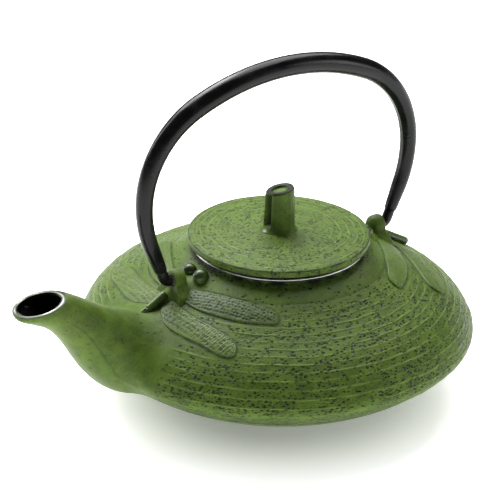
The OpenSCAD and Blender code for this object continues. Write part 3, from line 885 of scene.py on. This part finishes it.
def make_lid():
    cols = 560
    a = turn_steps(cols)
    ridges = [(24.6, 0.13), (28.6, 0.2), (32.5, 0.24), (36.3, 0.26), (39.6, 0.2)]
    fine = [(r, 0.03) for r in (14.5, 17.2, 19.8, 22.3, 26.6, 30.6, 34.4, 38.0)]
    r = list(np.linspace(0.02, 12.6, 12))
    for at, _ in ridges:
        r += [at + d for d in (-0.9, -0.45, -0.22, 0, 0.22, 0.45, 0.9)]
    for at, _ in fine:
        r += [at + d for d in (-0.5, -0.2, 0.0, 0.2, 0.5)]
    r = np.array(sorted(q for q in r if q < 40.9) + [41.1, 41.5, 41.9])
    room = smoothstep(10, 16, r) * (1 - smoothstep(38.5, 41, r))
    wander = 0.3 * Wave(81, 2, 6)(a) + 0.1 * Wave(82, 8, 20)(a)
    radius = r[:, None] + room[:, None] * wander
    lift = np.zeros((len(r), cols))
    crest = np.zeros((len(r), cols))
    for k, (at, height) in enumerate(ridges + fine):
        fade = np.clip(0.7 + 0.4 * Wave(90 + k, 2, 12)(a), 0.1, 1.3)
        shape = bell(r[:, None] - at, 0.33) * fade
        lift += height * shape
        crest += shape * min(1.0, height / 0.2)
    lift += 0.05 * Wave(66, 15, 50)(a[None, :] + 0.3 * radius / 10) * smoothstep(8, 14, r)[:, None]
    top = np.stack([radius * np.cos(a), radius * np.sin(a), dome_z(np.minimum(radius, LID_R)) + lift], -1)
    edge_profile = near(LID_R, LID_EDGE_Z, [
        (-0.25, -0.1), (-0.08, -0.35), (0, -0.8), (0, -1.6), (0, -2.6), (-0.2, -3.05),
        (-0.7, -3.3), (-2.0, -3.3), (-3.2, -3.3), (-3.3, -3.5)])
    edge_profile += near(LID_R, SEAT_Z, [(-3.3, 0.15), (-3.5, 0)])
    edge_profile += near(COLLAR_R, SEAT_Z, [
        (-1.1, 0), (-1.3, -0.2), (-1.3, -6.3), (-1.5, -6.5), (-2.7, -6.5), (-2.9, -6.3),
        (-2.9, -0.7), (-3.3, 0.2), (-5, 1.4)])
    edge_profile += near(0, SEAT_Z, [(24, 1.8), (14, 2.4), (6, 2.6), (1, 2.6)])
    sides = turned(edge_profile, cols)
    dark = np.zeros((len(r) + len(sides), cols))
    rim_dark = 0.55 + 0.3 * Wave(67, 6, 30)(a)
    dark[len(r) - 1] = np.clip(rim_dark, 0, 1) * 0.7
    dark[len(r)] = np.clip(rim_dark, 0, 1)
    dark[len(r) + 1] = 0.4 * np.clip(rim_dark, 0, 1)
    dark[len(r) + 5:len(r) + 7] = 0.6
    dark[len(r) + 8:] = 1.0
    worn = np.zeros_like(dark)
    worn[len(r) + 5] = np.clip(0.1 + 0.4 * Wave(69, 2, 9)(a), 0, 0.6)
    crest = np.concatenate([crest, np.zeros((len(sides), cols))])
    lid = Build()
    lid.grid(np.concatenate([top, sides]), flip=True, crest=np.clip(crest, 0, 1), dark=dark, worn=worn)
    lid.cap(sides[-1], flip=True, dark=1.0)
    lid.make("lid_shell", "lid", IRON_LID, ["lid"])


def make_knob():
    """Split stem: slanted hollow end, a deep groove with a raised lip, and a flared foot."""
    cols = 168
    a = turn_steps(cols)
    foot = float(dome_z(7.0))
    high = LID_EDGE_Z + DOME_H + 20.0
    slant = math.tan(math.radians(11))
    groove_at = math.radians(4)
    turn = np.arctan2(np.sin(a - groove_at), np.cos(a - groove_at))
    rows, dark, worn = [], [], []
    top_of = high + slant * 7.0 * np.cos(a - math.radians(145))
    top_of = np.minimum(top_of, KNOB_TOP_Z - 0.02)
    low_rows, high_rows = [0, 0.015, 0.035, 0.06, 0.09, 0.12], [0.955, 0.97, 0.982]
    for t in np.concatenate([low_rows, np.linspace(0.15, 0.94, 34), high_rows]):
        z = foot - 0.25 + t * (top_of - foot + 0.25)
        h = z - foot
        base = 7.1 - 0.6 * t
        flare = 1.5 * np.exp(-np.clip(h, 0, None) / 0.8)
        oval = 1 + 0.02 * np.cos(2 * (a - math.radians(145)))
        cut = smoothstep(2.0, 4.0, h) * (1 - smoothstep(0.945, 0.968, t))
        hollow = 2.4 * cut * (1 - smoothstep(0.2, 0.34, np.abs(turn)))
        lip = 0.5 * cut * bell(turn - 0.42, 0.085) + 0.3 * cut * bell(turn + 0.42, 0.085)
        toe = 0.8 * bell(h - 0.5, 0.9) * bell(turn, 0.28)
        r = (base + flare) * oval - hollow + lip + toe
        r += 0.05 * Wave(140, 8, 20)(a) * smoothstep(0.0, 0.2, t)
        r -= 0.35 * smoothstep(0.965, 0.985, t)
        rows.append(np.stack([r * np.cos(a), r * np.sin(a), z], -1))
        # Painted shade in the groove and on one side beside it; the dark top ring is the knob's own black
        # paint
        beside = 0.16 * smoothstep(0.2, 0.6, turn) * (1 - smoothstep(0.6, 1.6, turn))
        dark.append(0.8 * cut * (1 - smoothstep(0.18, 0.32, np.abs(turn)))
                    + 0.6 * smoothstep(0.95, 0.98, t) + beside)
        worn.append(0.7 * bell(h - 0.6, 0.5) * bell(turn, 0.2) + 0 * a)
    for share, drop, shade in ((0.92, 0.0, 1.0), (0.8, 0.02, 1.0), (0.68, 0.05, 1.0), (0.6, 0.1, 0.9),
                               (0.55, 0.5, 0.5), (0.53, 1.0, 0.1), (0.48, 1.25, 0.0), (0.25, 1.35, 0.0)):
        r = 6.55 * share * (1 + 0.03 * np.cos(2 * a))
        z = np.minimum(high + slant * r * np.cos(a - math.radians(145)), KNOB_TOP_Z - 0.02) - drop
        rows.append(np.stack([r * np.cos(a), r * np.sin(a), z], -1))
        dark.append(shade + 0 * a)
        worn.append(0 * a)
    grid = np.array(rows)
    knob = Build()
    knob.grid(grid, dark=np.clip(np.array(dark), 0, 1), worn=np.clip(np.array(worn), 0, 1))
    knob.cap(grid[-1])
    knob.make("lid_knob_stem", "lid", IRON_SMOOTH, ["lid_knob"])


# ---- Infuser ----
def make_infuser_rim():
    profile = near(COLLAR_R, SEAT_Z, [(-0.8, -0.35), (-0.65, -0.08), (-0.4, 0)])
    profile += [(37, SEAT_Z)]
    profile += near(FLANGE_R, SEAT_Z, [(-0.3, 0), (-0.08, -0.12), (0, -0.3)])
    profile += near(FLANGE_R, RIM_Z, [(0, 0.3), (-0.08, 0.12), (-0.3, 0.02)])
    profile += [(37, RIM_Z + 0.02)]
    profile += near(COLLAR_R, RIM_Z, [
        (0.2, 0), (0, -0.3), (0, -6), (0, -9.9), (-0.2, -10), (-0.6, -10), (-0.8, -9.9), (-0.8, -5)])
    profile += near(COLLAR_R, SEAT_Z, [(-0.8, -0.35)])
    rim = Build()
    rim.grid(turned(profile, 256), flip=True)
    rim.make("infuser_flange", "infuser", STEEL, ["infuser_rim"])


def pierced(build, nu, nv, place, hole, inward):
    """Sheet of square cells with eight-sided holes; place maps (u, v, depth) to a point."""
    corner = np.array([(0, 0), (0.5, 0), (1, 0), (1, 0.5), (1, 1), (0.5, 1), (0, 1), (0, 0.5)], float)
    ring = 0.5 + hole * np.stack([np.cos(np.radians(225 + 45 * np.arange(8))),
                                  np.sin(np.radians(225 + 45 * np.arange(8)))], -1)
    points, faces = [], []
    for i in range(nu):
        for j in range(nv):
            start = len(points)
            for depth in (0.0, inward):
                for c in corner:
                    points.append(place(i + c[0], j + c[1], depth))
                for c in ring:
                    points.append(place(i + c[0], j + c[1], depth))
            for k in range(8):
                m = (k + 1) % 8
                faces.append((start + k, start + m, start + 8 + m, start + 8 + k))
                faces.append((start + 16 + m, start + 16 + k, start + 24 + k, start + 24 + m))
                faces.append((start + 8 + k, start + 8 + m, start + 24 + m, start + 24 + k))
    build.add(np.array(points), faces)


def make_infuser_basket():
    radius = COLLAR_R - 0.2
    wall = Build()
    around, rows = 96, 14
    low, high = WALL_LOW_Z + 3.0, RIM_Z - 10.5
    pitch_z = (high - low) / rows

    def on_wall(u, v, depth):
        a = 2 * math.pi * u / around
        return ((radius - depth) * math.cos(a), (radius - depth) * math.sin(a), low + v * pitch_z)

    pierced(wall, around, rows, on_wall, 0.3, 0.4)
    for z0, z1 in ((WALL_LOW_Z, low), (high, WALL_HIGH_Z)):
        band = np.array([(radius - 0.4, z0), (radius, z0), (radius, (z0 + z1) / 2), (radius, z1),
                         (radius - 0.4, z1), (radius - 0.4, (z0 + z1) / 2), (radius - 0.4, z0)])
        wall.grid(turned(band, 192))
    wall.make("infuser_basket", "infuser", STEEL, ["infuser_wall"])
    floor = Build()
    pitch = 2.3
    cells = int(30 / pitch)
    for i in range(-cells, cells):
        first = -int(math.sqrt(max(0.0, 31.0 ** 2 - (max(abs(i), abs(i + 1)) * pitch) ** 2)) / pitch)
        if first >= 0:
            continue

        def on_floor(u, v, depth, i=i, first=first):
            return ((i + u) * pitch, (first + v) * pitch, FLOOR_Z + 0.8 - depth)

        pierced(floor, 1, -2 * first, on_floor, 0.3, 0.8)
    cup = near(0, FLOOR_Z, [(29.5, 0.82), (32.0, 0.85)])
    cup += near(COLLAR_R, FLOOR_Z, [
        (-1.1, 1.2), (-0.8, 1.8), (-0.8, 2.4), (-0.1, 2.4), (0, 2.2), (0, 0.9), (-0.3, 0.2), (-1.2, 0)])
    cup += near(0, FLOOR_Z, [(29.5, 0), (29.5, 0.82)])
    floor.grid(turned(cup, 192), flip=True)
    floor.make("infuser_sieve", "infuser", STEEL, ["infuser_floor"])


# ---- Bail and hooks ----
CROWN_R, CROWN_TURN, APEX_Z = 112.0, 24.3, 160.2
SHOULDER_R, LEG_R, LEG_LEAN = 46.9, 56.0, 22.0
TUBE_R, LEG_TUBE_R, LEG_END_R = 5.0, 4.0, 3.0


def polar(centre, r, degrees):
    return np.array([centre[0] + r * math.cos(math.radians(degrees)),
                     centre[1] + r * math.sin(math.radians(degrees))])


def bail_line():
    """Half of the bail's centre line with its half thickness, foot to crown, and the elbow point."""
    crown_c = np.array([0.0, APEX_Z - CROWN_R])
    crown_end = polar(crown_c, CROWN_R, 90 - CROWN_TURN)
    shoulder_c = polar(crown_end, -SHOULDER_R, 90 - CROWN_TURN)
    leg_c = shoulder_c + np.array([SHOULDER_R - LEG_R, 0])
    leg_top = polar(leg_c, LEG_R, -LEG_LEAN)
    leg_dir = -np.array([math.sin(math.radians(LEG_LEAN)), math.cos(math.radians(LEG_LEAN))])
    run = (leg_top[1] - PIVOT_Z) / math.cos(math.radians(LEG_LEAN))
    elbow = leg_top + run * leg_dir
    foot = leg_top + (run - 6.4) * leg_dir
    points = [(*foot, LEG_END_R)]
    for t in (0.3, 0.65):
        points.append((*(foot + t * (leg_top - foot)), LEG_END_R + t * (LEG_TUBE_R - 0.3 - LEG_END_R)))
    for d in np.arange(-LEG_LEAN, 0, 2):
        points.append((*polar(leg_c, LEG_R, d), LEG_TUBE_R + 0.3 * d / LEG_LEAN))
    for k in range(26):
        points.append((*polar(shoulder_c, SHOULDER_R, k * (90 - CROWN_TURN) / 26),
                       LEG_TUBE_R + (TUBE_R - LEG_TUBE_R) * k / 26))
    for k in range(19):
        points.append((*polar(crown_c, CROWN_R, 90 - CROWN_TURN + k * CROWN_TURN / 18), TUBE_R))
    return np.array(points), elbow, leg_dir, foot


BAIL_HALF, ELBOW, LEG_DIR, BAIL_FOOT = bail_line()


def make_bail():
    right = BAIL_HALF
    left = right[:-1][::-1] * np.array([-1, 1, 1])
    line = np.vstack([right, left])
    path = np.stack([line[:, 0], 0 * line[:, 0], line[:, 1]], -1)
    rings = swept(path, line[:, 2] * 0.985, 48)
    rings[..., 1] = rings[..., 1] * (1.0 / 0.985)
    bail = Build()
    # Welded seam along the underside of the tube: a narrow flat groove
    angle = turn_steps(48)
    inner = bell(np.arctan2(np.sin(angle - math.pi), np.cos(angle - math.pi)), 0.16)
    middle = path[:, None, :]
    rings = middle + (rings - middle) * (1 - 0.05 * inner)[None, :, None]
    leg = np.array([LEG_DIR[0], 0, LEG_DIR[1]])
    other_leg = leg * np.array([-1, 1, 1])
    first, last = [], []
    for share, back in ((0.62, 0.0), (0.86, 0.12), (0.97, 0.45)):
        first.append(middle[0] + (rings[0] - middle[0]) * share - back * leg)
        last.append(middle[-1] + (rings[-1] - middle[-1]) * share - back * other_leg)
    body = rings.copy()
    body[0] = body[0] - 0.9 * leg
    body[-1] = body[-1] - 0.9 * other_leg
    grid = np.concatenate([np.array(first), body, np.array(last)[::-1]])
    bail.grid(grid, flip=True)
    bail.cap(grid[0], flip=False)
    bail.cap(grid[-1], flip=True)
    bail.make("bail_tube", "bail", BLACK, ["bail"])


def make_hook(which, mirror_x):
    """Bent bar: leg, elbow and a plain peg in the lug's blind eye."""
    bend = 2.6
    peg_end = LUG_X - LUG_HALF - 0.6
    corner = np.array([ELBOW[0], PIVOT_Z])
    path = [BAIL_FOOT - 2.0 * LEG_DIR, BAIL_FOOT, corner - bend * 1.3 * LEG_DIR]
    for t in np.linspace(0.12, 0.88, 7):
        path.append((1 - t) ** 2 * (corner - bend * LEG_DIR) + 2 * t * (1 - t) * corner
                    + t * t * (corner - bend * np.array([1.0, 0])))
    path += [(corner[0] - bend * 1.2, PIVOT_Z), (58, PIVOT_Z), (56.2, PIVOT_Z), (peg_end + 0.5, PIVOT_Z),
             (peg_end + 0.15, PIVOT_Z), (peg_end, PIVOT_Z)]
    radii = [2.1, 2.5] + [2.55] * 9 + [2.54, 2.54, 2.5, 2.35, 2.0]
    path3 = np.array([(p[0], 0.0, p[1]) for p in path])
    rings = swept(path3, radii, 40)
    rings[..., 0] *= mirror_x
    hook = Build()
    worn = np.zeros(rings.shape[:2])
    worn[10:12] = 0.2 + 0.2 * np.sin(np.arange(40) * math.pi / 20)
    hook.grid(rings, flip=mirror_x > 0, worn=worn)
    hook.cap(rings[-1], flip=mirror_x > 0)
    hook.cap(rings[0], flip=mirror_x < 0)
    hook.make(which + "_bar", "bail", BLACK, [which])


# ---- Studio ----
VIEW_AZ = 144.69


def make_camera():
    """Camera of the main view: a long lens, seen from behind the spout's side."""
    az, el, roll = math.radians(VIEW_AZ), math.radians(24.99), math.radians(1.54)
    back = Vector((math.sin(az) * math.cos(el), -math.cos(az) * math.cos(el), math.sin(el)))
    right = Vector((math.cos(az), math.sin(az), 0))
    up = back.cross(right)
    place = Vector((0, 0, 0.078)) + back * 1.162
    ahead = -back
    # Small turns that put the aim point off the middle of the picture
    turn = Matrix.Rotation(AIM_TURN[0], 3, up)
    ahead, right = turn @ ahead, turn @ right
    turn = Matrix.Rotation(AIM_TURN[1], 3, right)
    ahead, up = turn @ ahead, turn @ up
    r = right * math.cos(roll) + up * math.sin(roll)
    u = -right * math.sin(roll) + up * math.cos(roll)
    data = bpy.data.cameras.new("camera")
    data.lens = 180
    data.sensor_width = 36
    data.clip_start, data.clip_end = 0.05, 50
    camera = bpy.data.objects.new("camera", data)
    camera.matrix_world = Matrix(((r.x, u.x, -ahead.x, place.x), (r.y, u.y, -ahead.y, place.y),
                                  (r.z, u.z, -ahead.z, place.z), (0, 0, 0, 1)))
    bpy.context.scene.collection.objects.link(camera)
    bpy.context.scene.camera = camera


AIM_TURN = (math.atan(28.4 / 2500), math.atan(-18.6 / 2500))


LIGHT_AIM = (0, 0, 0.05)


def area_light(name, at, size_x, size_y, watts):
    data = bpy.data.lights.new(name, "AREA")
    data.shape = "RECTANGLE"
    data.size, data.size_y = size_x, size_y
    data.energy = watts
    light = bpy.data.objects.new(name, data)
    light.location = at
    light.rotation_mode = "QUATERNION"
    light.rotation_quaternion = (Vector(at) - Vector(LIGHT_AIM)).to_track_quat("Z", "Y")
    bpy.context.scene.collection.objects.link(light)


def make_studio():
    az = math.radians(VIEW_AZ)
    right = Vector((math.cos(az), math.sin(az), 0))
    forward = Vector((math.sin(az), -math.cos(az), 0))

    def at(side, depth, height):
        return tuple(right * side + forward * depth + Vector((0, 0, height)))

    area_light("key_back_left", at(-0.55, -0.75, 1.15), 0.8, 0.8, 22.0)
    area_light("top_soft", at(0.1, -0.75, 1.25), 1.2, 1.2, 24.0)
    area_light("edge_left", at(-1.25, -0.55, 0.75), 0.3, 0.9, 7.0)
    area_light("fill_right", at(1.2, 0.15, 0.4), 0.4, 0.5, 2.5)
    world = bpy.data.worlds.new("studio")
    world.use_nodes = True
    tree = world.node_tree
    where = tree.nodes.new("ShaderNodeTexCoord")
    height = tree.nodes.new("ShaderNodeSeparateXYZ")
    fall = tree.nodes.new("ShaderNodeMapRange")
    fall.interpolation_type = "SMOOTHSTEP"
    for name, value in (("From Min", 0.03), ("From Max", 0.2), ("To Min", 0.6), ("To Max", 0.05)):
        fall.inputs[name].default_value = value
    tree.links.new(where.outputs["Generated"], height.inputs[0])
    tree.links.new(height.outputs["Z"], fall.inputs["Value"])
    tree.links.new(fall.outputs["Result"], tree.nodes["Background"].inputs["Strength"])
    tree.nodes["Background"].inputs["Color"].default_value = (1, 1, 1, 1)
    bpy.context.scene.world = world
    bpy.context.scene.view_settings.view_transform = "Standard"
    mesh = bpy.data.meshes.new("floor")
    size = 6.0
    corners = [(-size, -size, 0), (size, -size, 0), (size, size, 0), (-size, size, 0)]
    mesh.from_pydata(corners, [], [(0, 1, 2, 3)])
    floor = bpy.data.objects.new("floor", mesh)
    bpy.context.scene.collection.objects.link(floor)
    # Painted glow: the paper emits light of its own, least close to the pot, so that a painted shadow round
    # the pot stays deep
    paper = Nodes("studio_paper_painted_glow")
    paper.shader.inputs["Base Color"].default_value = (0.93, 0.93, 0.92, 1)
    paper.shader.inputs["Roughness"].default_value = 0.9
    paper.shader.inputs["Emission Color"].default_value = (1, 1, 1, 1)
    reach = paper.node("ShaderNodeVectorMath", operation="LENGTH")
    paper.link(paper.where, reach.inputs[0])
    glow = paper.ramp(reach.outputs["Value"], 0.05, 0.112, 0.25, 1.0)
    paper.link(glow, paper.shader.inputs["Emission Strength"])
    mesh.materials.append(paper.material)


make_camera()
make_studio()
make_pot()
make_lining()
make_spout()
for which, mirror_x in (("front", 1), ("rear", -1)):
    make_dragonfly(which + "_dragonfly", mirror_x)
    make_lug(which + "_lug", mirror_x)
    make_hook(which + "_hook", mirror_x)
make_lid()
make_knob()
make_infuser_rim()
make_infuser_basket()
make_bail()
